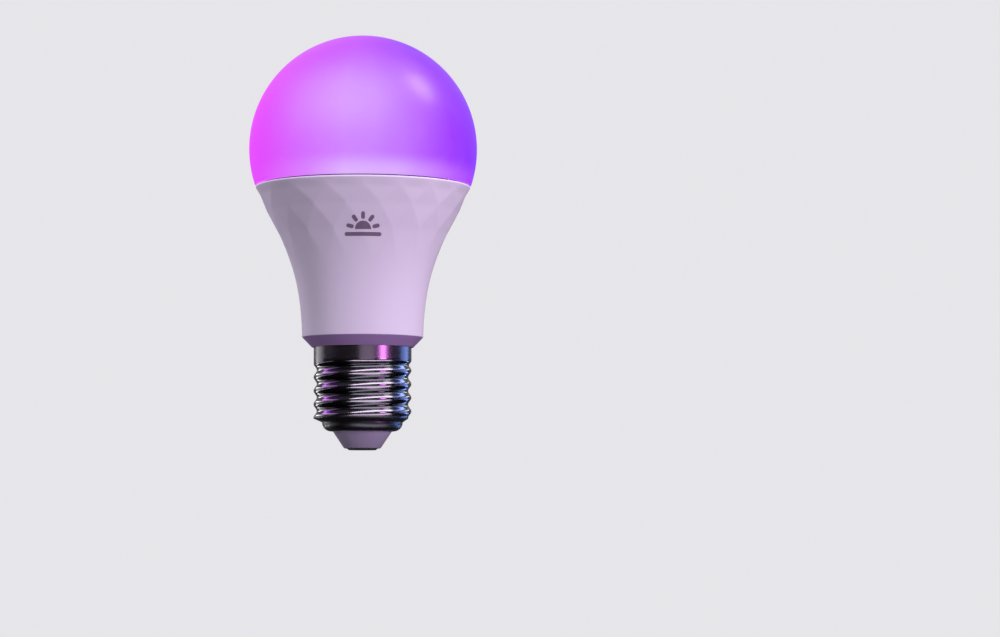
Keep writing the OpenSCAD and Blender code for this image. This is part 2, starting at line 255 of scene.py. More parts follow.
def shade(colour, factor):
    """The same colour, lighter or darker."""
    return rgba(*(min(1.0, c * factor) for c in colour[:3]))


# ---------------------------------------------------------------- finishes

TINNED = rgba(0.62, 0.61, 0.60)


def glowing_diffuser():
    """Opal dome, which glows as the lamp: lavender in the middle, deeper at the crown and paler
    where the lamps shine through at the mouth, with painted magenta light on one side and
    painted violet light on the other."""
    s = Shading("glowing_opal")
    x, y, z = s.split(s.place)
    r = s.maths("MAXIMUM", axis_distance(x, y), 0.5 * GLOBE_R)
    side = x / r * 0.5 + 0.5
    up = (z - GLOBE_Z) / GLOBE_R
    # Painted light: the magenta end (left) and the violet end (right) of each ramp stand for
    # coloured light falling on the sides of the glowing dome.
    middle = s.ramp(side, [
        (0.0, rgba(0.75, 0.02, 0.91)),
        (0.25, rgba(0.62, 0.14, 0.96)),
        (0.42, rgba(0.585, 0.215, 0.96)),
        (0.55, rgba(0.54, 0.20, 0.97)),
        (0.76, rgba(0.42, 0.09, 0.97)),
        (0.88, rgba(0.30, 0.022, 0.94)),
        (1.0, rgba(0.21, 0.004, 0.88)),
    ])
    crown = s.ramp(side, [
        (0.1, rgba(0.60, 0.05, 0.88)),
        (0.5, rgba(0.48, 0.035, 0.93)),
        (0.9, rgba(0.235, 0.0, 0.88)),
    ])
    mouth = s.ramp(side, [
        (0.0, rgba(0.74, 0.03, 0.92)),
        (0.25, rgba(0.66, 0.21, 0.95)),
        (0.42, rgba(0.69, 0.42, 0.95)),
        (0.65, rgba(0.65, 0.38, 0.95)),
        (0.88, rgba(0.48, 0.12, 0.93)),
        (1.0, rgba(0.32, 0.02, 0.9)),
    ])
    off_centre = s.maths("ABSOLUTE", x / GLOBE_R + 0.15)
    glow = s.step(up, -0.1, 0.3) * s.step(up, 0.8, 0.3) * s.step(off_centre, 0.75, 0.0)
    tint = s.mix(glow * 0.24, middle, rgba(0.85, 0.60, 1.0))
    tint = s.mix(s.step(up, 0.42, 1.0), tint, crown)
    tint = s.mix(s.step(up, -0.12, -0.30), tint, mouth)
    cloud = s.noise(9 * MM, detail=2.0)
    tint = s.mix((cloud - 0.5) * 0.10, tint, rgba(0.9, 0.6, 1.0))
    grain = s.noise(0.35 * MM, detail=2.0)
    return s.finish(
        Base_Color=s.mix(0.94, tint, rgba(0.02, 0.015, 0.03)),
        Roughness=0.33 + cloud * 0.06,
        Normal=s.bump(grain, 0.003 * MM),
        Specular_IOR_Level=0.25,
        Emission_Color=tint,
        Emission_Strength=1.0,
    )


def moulded_housing():
    """Lilac-white moulded plastic with a fine spark-eroded grain, with painted violet shade on the
    chamfer below the collar, and a painted glow along its top edge where the dome would light it."""
    s = Shading("moulded_lilac")
    z = s.split(s.place)[2]
    base = rgba(0.635, 0.52, 0.735)
    blotch = s.noise(7 * MM, detail=4.0)
    colour = s.mix(blotch * 0.25, base, shade(base, 0.9))
    # Painted shade: the chamfer below the collar is the same plastic, darkened and deepened to
    # violet where it faces down.
    below = s.step(z, COLLAR_Z + 0.15 * MM, COLLAR_Z - 0.15 * MM)
    colour = s.mix(below * 0.85, colour, rgba(0.21, 0.095, 0.32))
    # Painted glow: the rim just under the seam gives off light, standing in for the light the dome
    # throws on it.
    painted_rim_glow = s.step(z, SEAM_Z - 0.55 * MM, SEAM_Z - 0.2 * MM)
    speck = s.noise(0.16 * MM, detail=1.0)
    flow = s.noise(1.6 * MM, detail=3.0)
    relief = s.bump(speck, 0.006 * MM)
    return s.finish(
        Base_Color=colour,
        Roughness=0.42 + flow * 0.12,
        Normal=s.bump(flow, 0.008 * MM, under=relief),
        Specular_IOR_Level=0.35,
        Emission_Color=s.mix(painted_rim_glow, rgba(0, 0, 0), rgba(0.30, 0.25, 0.36)),
        Emission_Strength=1.0,
    )


def dark_plating():
    """Polished plating, painted near-black as a stand-in for the dark surroundings that it
    mirrors, with fine turning lines, and painted shade in the grooves and on the shoulder below
    the thread.
    """
    s = Shading("dark_plating")
    x, y, z = s.split(s.place)
    r = axis_distance(x, y)
    lines = s.noise(0.4 * MM, detail=2.0, at=s.mapped(scale=(0.06, 0.06, 1.0)))
    smear = s.noise(3.5 * MM, detail=5.0)
    band = s.step(z, BAND_Z - 0.3 * MM, BAND_Z + 0.3 * MM)
    # Painted shade: the plating is darkened down in the thread's grooves and on the shoulder below
    # the thread.
    groove = s.step(r, CREST_R - 0.35 * MM, CREST_R - 0.65 * MM)
    shoulder = s.step(z, CAP_STEP_Z + 0.9 * MM, CAP_STEP_Z + 0.2 * MM)
    painted_shade = s.maths("MAXIMUM", groove * 0.9, shoulder * 0.8)
    # Painted dark reflection: the plating is given a near-black colour to stand for the dark
    # surroundings it mirrors.
    colour = s.mix(smear * 0.6, rgba(0.018, 0.015, 0.020), rgba(0.032, 0.028, 0.036))
    return s.finish(
        Base_Color=s.mix(painted_shade, colour, rgba(0.004, 0.004, 0.005)),
        Metallic=1.0,
        Roughness=0.15 + s.step(smear, 0.35, 0.8) * 0.04 + band * 0.09 + shoulder * 0.2,
        Normal=s.bump(lines, 0.0006 * MM),
    )


def plain_plastic(name, colour, rough=0.45):
    """Moulded plastic: slight clouding, a fine grain and uneven gloss."""
    s = Shading(name)
    cloud = s.noise(3 * MM, detail=4.0)
    speck = s.noise(0.2 * MM, detail=2.0)
    return s.finish(
        Base_Color=s.mix(cloud * 0.5, colour, shade(colour, 0.8)),
        Roughness=rough - 0.06 + cloud * 0.14,
        Normal=s.bump(speck, 0.006 * MM),
    )


def bright_metal(name, colour, rough):
    """Bare metal with drawn or brushed lines and small stains."""
    s = Shading(name)
    lines = s.noise(0.12 * MM, detail=4.0, at=s.mapped(scale=(1.0, 1.0, 0.08)))
    stain = s.noise(2.5 * MM, detail=5.0)
    return s.finish(
        Base_Color=s.mix(stain * 0.5, colour, shade(colour, 0.78)),
        Metallic=1.0,
        Roughness=rough - 0.05 + stain * 0.16 + lines * 0.05,
        Normal=s.bump(lines, 0.004 * MM),
    )


def soft_rubber(name, colour, rough=0.6):
    """Silicone or soft insulation: dull, clouded and finely pitted."""
    s = Shading(name)
    cloud = s.noise(1.8 * MM, detail=4.0)
    speck = s.noise(0.09 * MM, detail=2.0)
    return s.finish(
        Base_Color=s.mix(cloud * 0.6, colour, shade(colour, 0.75)),
        Roughness=rough - 0.08 + cloud * 0.16,
        Normal=s.bump(speck, 0.01 * MM),
    )


def masked_board(name, colour):
    """Circuit board under solder resist, with faint tracks and a fine weave below it."""
    s = Shading(name)
    brick = {
        "Vector": s.place,
        "Scale": 1 / (5 * MM),
        "Mortar Size": 0.05,
        "Brick Width": 2.6,
        "Row Height": 0.3,
    }
    tracks = s.value("ShaderNodeTexBrick", {"offset": 0.37}, brick, out=1)
    weave_x = s.noise(0.2 * MM, at=s.mapped(scale=(1.0, 0.1, 0.1)))
    weave_y = s.noise(0.2 * MM, at=s.mapped(scale=(0.1, 1.0, 1.0)))
    cloud = s.noise(4 * MM, detail=3.0)
    lined = s.mix(tracks * 0.35, colour, shade(colour, 1.3))
    return s.finish(
        Base_Color=s.mix(cloud * 0.5, lined, shade(colour, 0.75)),
        Roughness=0.28 + cloud * 0.14,
        Normal=s.bump(weave_x + weave_y + tracks, 0.006 * MM),
    )


def glowing_gel(name, colour, glow, strength):
    """Phosphor gel in a small lamp, brighter in its middle."""
    s = Shading(name)
    grain = s.noise(0.18 * MM, detail=3.0)
    return s.finish(
        Base_Color=s.mix(grain * 0.6, colour, shade(colour, 0.8)),
        Roughness=0.22 + grain * 0.2,
        Normal=s.bump(grain, 0.01 * MM),
        Emission_Color=s.mix(grain * 0.3, glow, shade(glow, 0.7)),
        Emission_Strength=strength,
    )


def pressed_ferrite():
    """Dark sintered powder with paler grains."""
    s = Shading("pressed_ferrite")
    grain = s.noise(0.25 * MM, detail=6.0, rough=0.7)
    speck = s.step(s.noise(0.5 * MM, detail=2.0), 0.62, 0.72)
    colour = s.mix(grain * 0.8, rgba(0.045, 0.042, 0.042), rgba(0.09, 0.088, 0.09))
    return s.finish(
        Base_Color=s.mix(speck * 0.5, colour, rgba(0.16, 0.15, 0.15)),
        Roughness=0.5 + grain * 0.2,
        Normal=s.bump(grain, 0.03 * MM),
    )


def enamelled_turns():
    """Wound copper wire: a ridge for each turn along the spool."""
    s = Shading("enamelled_turns")
    z = s.split(s.place)[2]
    wire_r = 0.14 * MM
    turn = s.maths("PINGPONG", z, wire_r) / wire_r
    ridge = (1 - turn * turn) ** 0.5
    cloud = s.noise(2 * MM, detail=3.0)
    # Painted shade: the copper darkens towards the gap between turns.
    copper = s.mix(turn, rgba(0.62, 0.24, 0.08), rgba(0.18, 0.05, 0.02))
    return s.finish(
        Base_Color=s.mix(cloud * 0.4, copper, rgba(0.4, 0.12, 0.04)),
        Metallic=0.6,
        Roughness=0.3 + turn * 0.2,
        Normal=s.bump(ridge, 0.09 * MM),
    )


def sleeved_can(name, colour):
    """Heat-shrunk capacitor sleeve, with a pale stripe and dark dashes down its front, and
    tinned leads. The upper can stands off to one side, and all leads lie between the cans."""
    s = Shading(name)
    lower_head, upper_foot, upper_x = 25.5 * MM, 37 * MM, 7.2 * MM
    x, y, z = s.split(s.place)
    cloud = s.noise(2.5 * MM, detail=3.0)
    wrinkle = s.noise(0.8 * MM, at=s.mapped(scale=(1.0, 1.0, 0.25)))
    off = s.maths("ABSOLUTE", x - s.step(z, 30 * MM, 31 * MM) * upper_x)
    front = s.step(y, -5.5 * MM, -5.7 * MM)
    stripe = s.step(off, 1.25 * MM, 1.15 * MM) * front
    dashes = s.step(s.maths("PINGPONG", z, 1.5 * MM), 0.5 * MM, 0.42 * MM)
    dash = s.step(off, 0.4 * MM, 0.32 * MM) * dashes * front
    sleeve = s.mix(cloud * 0.5, colour, shade(colour, 1.5))
    striped = s.mix(stripe * 0.9, sleeve, rgba(0.62, 0.64, 0.68))
    above = s.step(z, lower_head, lower_head + 0.06 * MM)
    lead = above * s.step(z, upper_foot, upper_foot - 0.06 * MM)
    return s.finish(
        Base_Color=s.mix(lead, s.mix(dash, striped, colour), TINNED),
        Metallic=lead,
        Roughness=0.22 + cloud * 0.15,
        Normal=s.bump(wrinkle, 0.02 * MM),
        Coat_Weight=0.3,
    )


def banded_resistor(name, colour):
    """Fired resistor coat with four painted rings, and tinned leads above and below."""
    s = Shading(name)
    foot, head = 18 * MM, 27 * MM
    z = s.split(s.place)[2]
    cloud = s.noise(2 * MM, detail=3.0)
    tint = s.mix(cloud * 0.5, colour, shade(colour, 0.8))
    painted = [
        (20.4 * MM, rgba(0.16, 0.055, 0.02)),
        (21.7 * MM, rgba(0.012, 0.012, 0.012)),
        (23.0 * MM, rgba(0.42, 0.27, 0.06)),
        (24.6 * MM, rgba(0.02, 0.02, 0.02)),
    ]
    for height, band in painted:
        off = s.maths("ABSOLUTE", z - height)
        tint = s.mix(s.step(off, 0.36 * MM, 0.3 * MM), tint, band)
    coat = s.step(z, foot - 0.06 * MM, foot) * s.step(z, head + 0.06 * MM, head)
    return s.finish(
        Base_Color=s.mix(coat, TINNED, tint),
        Metallic=1 - coat,
        Roughness=0.34 + cloud * 0.14,
        Normal=s.bump(s.noise(0.2 * MM, detail=2.0), 0.006 * MM),
    )


def finishes():
    """One finish for each material slot of the record, many in the record's own colour."""
    materials = frame["record"]["materials"]
    of = {entry["slot"]: rgba(*entry["base_color"][:3]) for entry in materials}
    return {
        "diffuser": glowing_diffuser(),
        "silicone": soft_rubber("grey_silicone", rgba(0.035, 0.026, 0.05)),
        "housing_plastic": moulded_housing(),
        "cap_metal": dark_plating(),
        # The insulator is the housing's lilac plastic, darkened here as painted shade.
        "insulator_plastic": plain_plastic("lilac_insulator", rgba(0.25, 0.19, 0.325), rough=0.42),
        "contact_metal": bright_metal("tinned_contact", rgba(0.34, 0.32, 0.38), rough=0.32),
        "cup_aluminium": bright_metal("drawn_aluminium", of["cup_aluminium"], rough=0.34),
        "thermal_pad": soft_rubber("heat_pad", of["thermal_pad"], rough=0.7),
        "light_board": masked_board("white_board", of["light_board"]),
        "warm_lamp": glowing_gel("warm_gel", of["warm_lamp"], rgba(1.0, 0.55, 0.2), 0.6),
        "cool_lamp": glowing_gel("cool_gel", of["cool_lamp"], rgba(0.75, 0.85, 1.0), 0.6),
        "colour_lamp": glowing_gel("colour_gel", of["colour_lamp"], rgba(0.6, 0.1, 1.0), 2.0),
        "chip_plastic": plain_plastic("chip_epoxy", rgba(0.03, 0.03, 0.032), rough=0.55),
        "screw_steel": bright_metal("zinc_steel", of["screw_steel"], rough=0.3),
        "white_plastic": plain_plastic("white_nylon", rgba(0.8, 0.79, 0.76), rough=0.4),
        "header_plastic": plain_plastic("header_nylon", rgba(0.035, 0.035, 0.035)),
        "radio_board": masked_board("radio_resist", of["radio_board"]),
        "shield_metal": bright_metal("tinned_can", of["shield_metal"], rough=0.26),
        "copper_track": bright_metal("plated_copper", of["copper_track"], rough=0.3),
        "sleeve_film": plain_plastic("milky_film", of["sleeve_film"], rough=0.3),
        "driver_board": masked_board("driver_resist", of["driver_board"]),
        "capacitor_sleeve": sleeved_can("blue_sleeve", of["capacitor_sleeve"]),
        "ferrite": pressed_ferrite(),
        "bobbin_plastic": plain_plastic("phenolic_spool", of["bobbin_plastic"], rough=0.5),
        "copper_winding": enamelled_turns(),
        "shrink_tube": plain_plastic("shrunk_tube", rgba(0.03, 0.03, 0.035), rough=0.35),
        "film_box": plain_plastic("film_case", of["film_box"], rough=0.32),
        "varistor_coat": plain_plastic("dipped_blue", of["varistor_coat"], rough=0.3),
        "resistor_coat": banded_resistor("fired_green", of["resistor_coat"]),
        "chip_ceramic": plain_plastic("fired_ceramic", of["chip_ceramic"], rough=0.45),
        "red_insulation": soft_rubber("red_insulation", rgba(0.5, 0.02, 0.02), rough=0.45),
        "printed_ink": plain_plastic("pad_printed_ink", rgba(0.175, 0.118, 0.205), rough=0.4),
        "white_insulation": soft_rubber("white_insulation", rgba(0.8, 0.8, 0.78), rough=0.45),
    }


# ---------------------------------------------------------------- outlines and turned pieces


def rounded(corners, steps=5):
    """An outline from (radius, height, rounding) corners; a rounding of 0 stays sharp."""
    outline = []
    for i, (r, z, rounding) in enumerate(corners):
        here = Vector((r, z))
        before = Vector(corners[i - 1][:2]) - here
        after = Vector(corners[(i + 1) % len(corners)][:2]) - here
        if rounding == 0:
            outline.append((r, z))
            continue
        half = before.angle(after) / 2
        reach = min(rounding / math.tan(half), 0.48 * before.length, 0.48 * after.length)
        radius = reach * math.tan(half)
        centre = here + (before.normalized() + after.normalized()).normalized() * (
            radius / math.sin(half)
        )
        start = here + before.normalized() * reach - centre
        end = here + after.normalized() * reach - centre
        sweep = start.angle_signed(end)
        for k in range(steps + 1):
            turn = -sweep * k / steps
            c, s = math.cos(turn), math.sin(turn)
            outline.append(
                (centre.x + c * start.x - s * start.y, centre.y + s * start.x + c * start.y)
            )
    return outline


def arc(centre_z, radius, start, end, steps, centre_r=0.0):
    """Points on a circle, from one angle above the level to another, in degrees."""
    points = []
    for k in range(steps + 1):
        a = math.radians(start + (end - start) * k / steps)
        points.append((centre_r + radius * math.cos(a), centre_z + radius * math.sin(a)))
    return points


def new_piece(name, mesh_maker):
    """A piece whose mesh mesh_maker fills, with doubles merged and faces outward."""
    mesh = bpy.data.meshes.new(name)
    built = bmesh.new()
    mesh_maker(built)
    bmesh.ops.remove_doubles(built, verts=built.verts, dist=SAME_POINT)
    bmesh.ops.dissolve_degenerate(built, edges=built.edges, dist=0.1 * SAME_POINT)
    bmesh.ops.recalc_face_normals(built, faces=built.faces)
    built.to_mesh(mesh)
    built.free()
    piece = bpy.data.objects.new(name, mesh)
    bpy.context.scene.collection.objects.link(piece)
    return piece


def turned(name, outline, around, closed=True):
    """A solid of revolution about the lamp's axis from (radius, height) points, with so
    many points around. Without closed, the last point isn't joined to the first."""

    def make(built):
        rings = []
        for r, z in outline:
            if r < ON_AXIS:
                rings.append([built.verts.new((0, 0, z))] * around)
                continue
            ring = []
            for k in range(around):
                a = 2 * math.pi * k / around - math.pi / 2
                ring.append(built.verts.new((r * math.cos(a), r * math.sin(a), z)))
            rings.append(ring)
        pairs = list(zip(rings, rings[1:]))
        if closed:
            pairs.append((rings[-1], rings[0]))
        for low, high in pairs:
            for k in range(around):
                n = (k + 1) % around
                corners = [low[k], low[n], high[n], high[k]]
                face = list(dict.fromkeys(corners))
                if len(face) > 2:
                    built.faces.new(face)

    piece = new_piece(name, make)
    smooth(piece, 35)
    return piece


def smooth(piece, sharp):
    """Shades a piece smooth, but for edges sharper than so many degrees."""
    piece.data.shade_smooth()
    piece.data.set_sharp_from_angle(angle=math.radians(sharp))


def settle(piece):
    """Turns what the modifiers make into a plain mesh, and removes them."""
    shown = bpy.context.evaluated_depsgraph_get()
    made = bpy.data.meshes.new_from_object(piece.evaluated_get(shown), depsgraph=shown)
    piece.modifiers.clear()
    piece.data = made
    made.name = piece.name
    return piece


# ---------------------------------------------------------------- geometry trees


class Shaping(Nodes):
    """A Geometry Nodes tree with named inputs, which works on a piece's own mesh."""

    def __init__(self, name, sizes):
        tree = bpy.data.node_groups.new(name, "GeometryNodeTree")
        super().__init__(tree)
        face = tree.interface
        face.new_socket("Geometry", in_out="INPUT", socket_type="NodeSocketGeometry")
        self.keys = {}
        for label, amount in sizes.items():
            kind = "NodeSocketInt" if isinstance(amount, int) else "NodeSocketFloat"
            made = face.new_socket(label, in_out="INPUT", socket_type=kind)
            made.default_value = amount
            self.keys[label] = made.identifier
        made = face.new_socket("Finish", in_out="INPUT", socket_type="NodeSocketMaterial")
        self.keys["Finish"] = made.identifier
        face.new_socket("Geometry", in_out="OUTPUT", socket_type="NodeSocketGeometry")
        self.given = self.add("NodeGroupInput")

    def size(self, label):
        """One of the tree's named inputs."""
        return Value(self, self.given.outputs[label])

    def end(self, geometry):
        """Ends the tree in real geometry with the finish on it."""
        real = self.add("GeometryNodeRealizeInstances", None, {0: geometry})
        inputs = {"Geometry": real.outputs[0], "Material": self.given.outputs["Finish"]}
        painted = self.add("GeometryNodeSetMaterial", None, inputs)
        self.add("NodeGroupOutput", None, {0: painted.outputs[0]})

    def apply(self, piece, finish, **sizes):
        """Runs the tree on a piece with these sizes, and keeps the mesh that it makes."""
        worker = piece.modifiers.new(self.tree.name, "NODES")
        worker.node_group = self.tree
        worker[self.keys["Finish"]] = finish
        for label, amount in sizes.items():
            worker[self.keys[label.replace("_", " ")]] = amount
        return settle(piece)


def move_radially(g, r, new_r):
    """Sets every point's distance from the lamp's axis."""
    shift = new_r / r - 1
    x, y = g.split(g.add("GeometryNodeInputPosition").outputs[0])[:2]
    offset = g.add("ShaderNodeCombineXYZ", None, {0: x * shift, 1: y * shift})
    inputs = {"Geometry": g.given.outputs["Geometry"], "Offset": offset.outputs[0]}
    return g.add("GeometryNodeSetPosition", None, inputs).outputs[0]


def facet_cutter():
    """Cuts a lattice of shallow diamonds into the flare. The corners of rows A and C stand
    between those of rows B and D, and the cut fades out from row C down to row D."""
    g = Shaping(
        "Diamond facets",
        {
            "Facets": 18,
            "Relief": 1.0,
            "Ridge rounding": 0.03 * MM,
            "Rim height": SEAM_Z,
            "Row A height": 68.7 * MM,
            "Row B height": 63.7 * MM,
            "Row C height": 57.4 * MM,
            "Row D height": 46.0 * MM,
        },
    )
    x, y, z = g.split(g.add("GeometryNodeInputPosition").outputs[0])
    r = axis_distance(x, y)
    a, b, c, d = [g.size(f"Row {row} height") for row in "ABCD"]
    half = math.pi / g.size("Facets")
    even = g.maths("PINGPONG", g.maths("ARCTAN2", x, -y), half)
    odd = half - even

    # How many rows lie below this point, and a slightly softened zigzag between them.
    rows = sum(g.step(z, low, high, smooth=False) for low, high in ((d, c), (c, b), (b, a)))
    wave = sum(g.maths("COSINE", rows * (k * math.pi)) / (k * k) for k in (1, 3, 5))
    half_swing = 0.434
    lean = 0.5 + half_swing * wave
    cut = 1 - g.maths("COSINE", half)
    even_flat = r * (1 - cut * lean) / g.maths("COSINE", even)
    odd_flat = r * (1 - cut * (1 - lean)) / g.maths("COSINE", odd)
    facet = g.maths("SMOOTH_MIN", even_flat, odd_flat, g.size("Ridge rounding"))
    outer = g.value("GeometryNodeInputNamedAttribute", {"data_type": "FLOAT"}, {"Name": "outer"})
    rim = g.size("Rim height")
    share = g.step(z, rim - 0.5 * MM, rim - 3.0 * MM) * g.step(z, d, c) * outer
    new_r = r + (facet - r) * share * g.size("Relief")
    g.end(move_radially(g, r, new_r))
    return g


def thread_roller():
    """Rolls a right-hand round thread into the outside of a plain turned sleeve. The tree
    works outside Reach, and Start is a height at which a crest faces the front."""
    g = Shaping(
        "Round thread",
        {
            "Pitch": THREAD_PITCH,
            "Depth": THREAD_DEPTH,
            "Top": BAND_Z,
            "Run out": 1.7 * MM,
            "Bottom": CAP_STEP_Z,
            "Start": BAND_Z,
            "Reach": 11 * MM,
        },
    )
    x, y, z = g.split(g.add("GeometryNodeInputPosition").outputs[0])
    r = axis_distance(x, y)
    turn = g.maths("ARCTAN2", x, -y)
    phase = (z - g.size("Start")) * (2 * math.pi) / g.size("Pitch") - turn
    fall = (1 - g.maths("COSINE", phase)) * 0.5 * g.size("Depth")
    top = g.size("Top")
    bottom = g.size("Bottom")
    kept = g.step(z, top, top - g.size("Run out")) * g.step(z, bottom - 0.5 * MM, bottom)
    outside = g.step(r, g.size("Reach") - 0.3 * MM, g.size("Reach"), smooth=False)
    g.end(move_radially(g, r, r - fall * kept * outside))
    return g


def ring_setter():
    """Repeats a piece's own mesh at even steps around the lamp's axis."""
    g = Shaping(
        "Ring of copies",
        {"Count": 8, "Ring radius": 19 * MM, "Height": 67.5 * MM, "First angle": 0.0},
    )
    index = g.value("GeometryNodeInputIndex")
    angle = g.size("First angle") + index * (2 * math.pi) / g.size("Count")
    x = g.size("Ring radius") * g.maths("COSINE", angle)
    y = g.size("Ring radius") * g.maths("SINE", angle)
    place = g.add("ShaderNodeCombineXYZ", None, {0: x, 1: y, 2: g.size("Height")}).outputs[0]
    points = g.add("GeometryNodePoints", None, {"Count": g.size("Count"), "Position": place})
    euler = g.add("ShaderNodeCombineXYZ", None, {2: angle}).outputs[0]
    turn = g.add("FunctionNodeEulerToRotation", None, {0: euler}).outputs[0]
    inputs = {
        "Points": points.outputs[0],
        "Instance": g.given.outputs["Geometry"],
        "Rotation": turn,
    }
    copies = g.add("GeometryNodeInstanceOnPoints", None, inputs)
    g.end(copies.outputs[0])
    return g


# ---------------------------------------------------------------- the lamp's outer pieces


def flare_point(t):
    """A point on the housing's outer line: t runs from the rim, 0, to the collar, 1."""
    rim = Vector((RIM_R, SEAM_Z))
    collar = Vector((NECK_R, COLLAR_Z))
    handles = [
        rim,
        rim - 16.6 * MM * Vector((0.44, 1)),
        collar + 20.4 * MM * Vector((0.028, 1)),
        collar,
    ]
    weights = [(1 - t) ** 3, 3 * t * (1 - t) ** 2, 3 * t * t * (1 - t), t**3]
    return sum((w * h for w, h in zip(weights, handles)), Vector((0, 0)))


def flare_radius(z):
    """The housing's outer radius at a height, found by halving."""
    low, high = 0.0, 1.0
    for _ in range(40):
        middle = (low + high) / 2
        if flare_point(middle).y > z:
            low = middle
        else:
            high = middle
    return flare_point(low).x


def carried(piece, slot, *nodes):
    """Attaches a finished piece to the lamp's root and hides the CAD nodes it stands for. The slot
    is not used.
    """
    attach(piece, "root")
    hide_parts(*nodes)
    return piece


def make_dome(finish):
    """Diffuser: an almost full sphere, a web at its mouth and a skirt for the socket."""
    wall_end_z = DOME_EDGE_Z + 0.25 * MM
    edge_turn = math.degrees(math.asin((wall_end_z - GLOBE_Z) / GLOBE_R))
    inner_r = GLOBE_R - DOME_WALL
    web_z = DOME_EDGE_Z + DOME_WEB
    inner_turn = math.degrees(math.asin((web_z - GLOBE_Z) / inner_r))
    edge_r = math.sqrt(GLOBE_R**2 - (DOME_EDGE_Z - GLOBE_Z) ** 2)
    outline = arc(GLOBE_Z, GLOBE_R, edge_turn, 90, steps=72)
    outline += arc(GLOBE_Z, inner_r, 90, inner_turn, steps=36)
    skirt_low = SHELF_Z + 0.1 * MM
    skirt = [
        (SKIRT_R - SKIRT_WALL, web_z, 0),
        (SKIRT_R - SKIRT_WALL, skirt_low, 0.2 * MM),
        (SKIRT_R, skirt_low, 0.2 * MM),
        (SKIRT_R, DOME_EDGE_Z, 0),
        (edge_r - 0.12 * MM, DOME_EDGE_Z, 0),
    ]
    outline += rounded(skirt)
    outline += [(edge_r - 0.02 * MM, DOME_EDGE_Z + 0.08 * MM)]
    piece = turned("diffuser", outline, around=288)
    piece.data.materials.append(finish)
    return carried(piece, "diffuser", "diffuser_dome")


def make_bead(finish):
    """Silicone bead, set back in the seam between diffuser and housing."""
    inner = SOCKET_R + 0.02 * MM
    outer = bead_high.x - 0.1 * MM
    corners = [
        (inner, bead_low.z, 0),
        (outer, bead_low.z, 0.12 * MM),
        (outer, bead_high.z, 0.12 * MM),
        (inner, bead_high.z, 0),
    ]
    piece = turned("seam_bead", rounded(corners), around=180)
    piece.data.materials.append(finish)
    return carried(piece, "silicone", "sealant_ring")


def make_housing(finish):
    """One-piece housing: faceted flare, neck, chamfered collar, stub and hollow."""
    rows = 84
    line = [flare_point(k / rows) for k in range(1, rows)]
    flare = [(p.x, p.y, 0) for p in line if p.y < SEAM_Z - 0.4 * MM]
    inside = [
        (p.x - SHELL_WALL, p.y, 0)
        for p in reversed(line[::4])
        if p.x - SHELL_WALL < SHELF_R - 0.1 * MM and p.y > FLOOR_Z + 0.5 * MM
    ]
    seat_r = CREST_R - CAP_WALL - PRESS_GAP
    corners = [(SOCKET_R, SEAM_Z, 0), (RIM_R, SEAM_Z, 0.35 * MM), *flare]
    corners += [
        (NECK_R, COLLAR_Z, 0.35 * MM),
        (LEDGE_R, LEDGE_Z, 0.2 * MM),
        (seat_r, LEDGE_Z, 0),
        (seat_r, BAND_Z, 0.3 * MM),
        (STUB_R, BAND_Z - MM, 0.3 * MM),
        (STUB_R, STUB_Z, 0.3 * MM),
        (STUB_R - STUB_WALL, STUB_Z, 0.3 * MM),
        (STUB_R - STUB_WALL, BAND_Z, 0.5 * MM),
        (THROAT_R, BAND_Z + MM, 0.5 * MM),
        (THROAT_R, FLOOR_Z - 3.5 * MM, 0.5 * MM),
        (NECK_R - 2.25 * MM, FLOOR_Z, 0),
        (NECK_R - SHELL_WALL + 0.08 * MM, FLOOR_Z, 0),
    ]
    corners += inside
    corners += [(SHELF_R, SHELF_Z - 1.8 * MM, 0), (SHELF_R, SHELF_Z, 0), (SOCKET_R, SHELF_Z, 0)]
    outline = rounded(corners, steps=4)
    piece = turned("housing", outline, around=360)
    mark_outer(piece)
    facet_cutter().apply(piece, finish, Relief=0.8)
    smooth(piece, 50)
    return carried(piece, "housing_plastic", "housing_shell")


def mark_outer(piece):
    """Marks the points that lie on the flare's outside, which the facets are cut into."""
    outer = piece.data.attributes.new("outer", "FLOAT", "POINT")
    share = []
    for point in piece.data.vertices:
        r = math.hypot(point.co.x, point.co.y)
        flare = COLLAR_Z < point.co.z < SEAM_Z
        share.append(1.0 if flare and r > flare_radius(point.co.z) - 0.6 * MM else 0.0)
    outer.data.foreach_set("value", share)


def make_cap(finish, roller):
    """Screw cap: pressed sheet with a plain band, a round thread and a turned-in rim."""
    thread_rows = 144
    sheet_r = CREST_R - 0.01 * MM
    sleeve = [
        (sheet_r, BAND_Z - (BAND_Z - CAP_STEP_Z) * k / thread_rows)
        for k in range(thread_rows + 1)
    ]
    centre_z = CAP_RIM_Z + CAP_ROUND
    lip_r = CAP_RIM_R - CAP_WALL
    outline = [(sheet_r, LEDGE_Z), *sleeve]
    outline += arc(centre_z, CAP_ROUND, 0, -90, steps=10, centre_r=CAP_RIM_R)
    outline += [(lip_r, CAP_RIM_Z), (lip_r, CAP_RIM_Z + CAP_WALL)]
    outline += arc(centre_z, CAP_ROUND - CAP_WALL, -90, 0, steps=6, centre_r=CAP_RIM_R)
    outline += [(r - CAP_WALL, z + 0.1 * MM) for r, z in reversed(sleeve[::4])]
    outline += [(CREST_R - CAP_WALL, LEDGE_Z)]
    piece = turned("screw_cap", outline, around=320)
    roller.apply(piece, finish)
    smooth(piece, 40)
    return carried(piece, "cap_metal", "screw_shell")


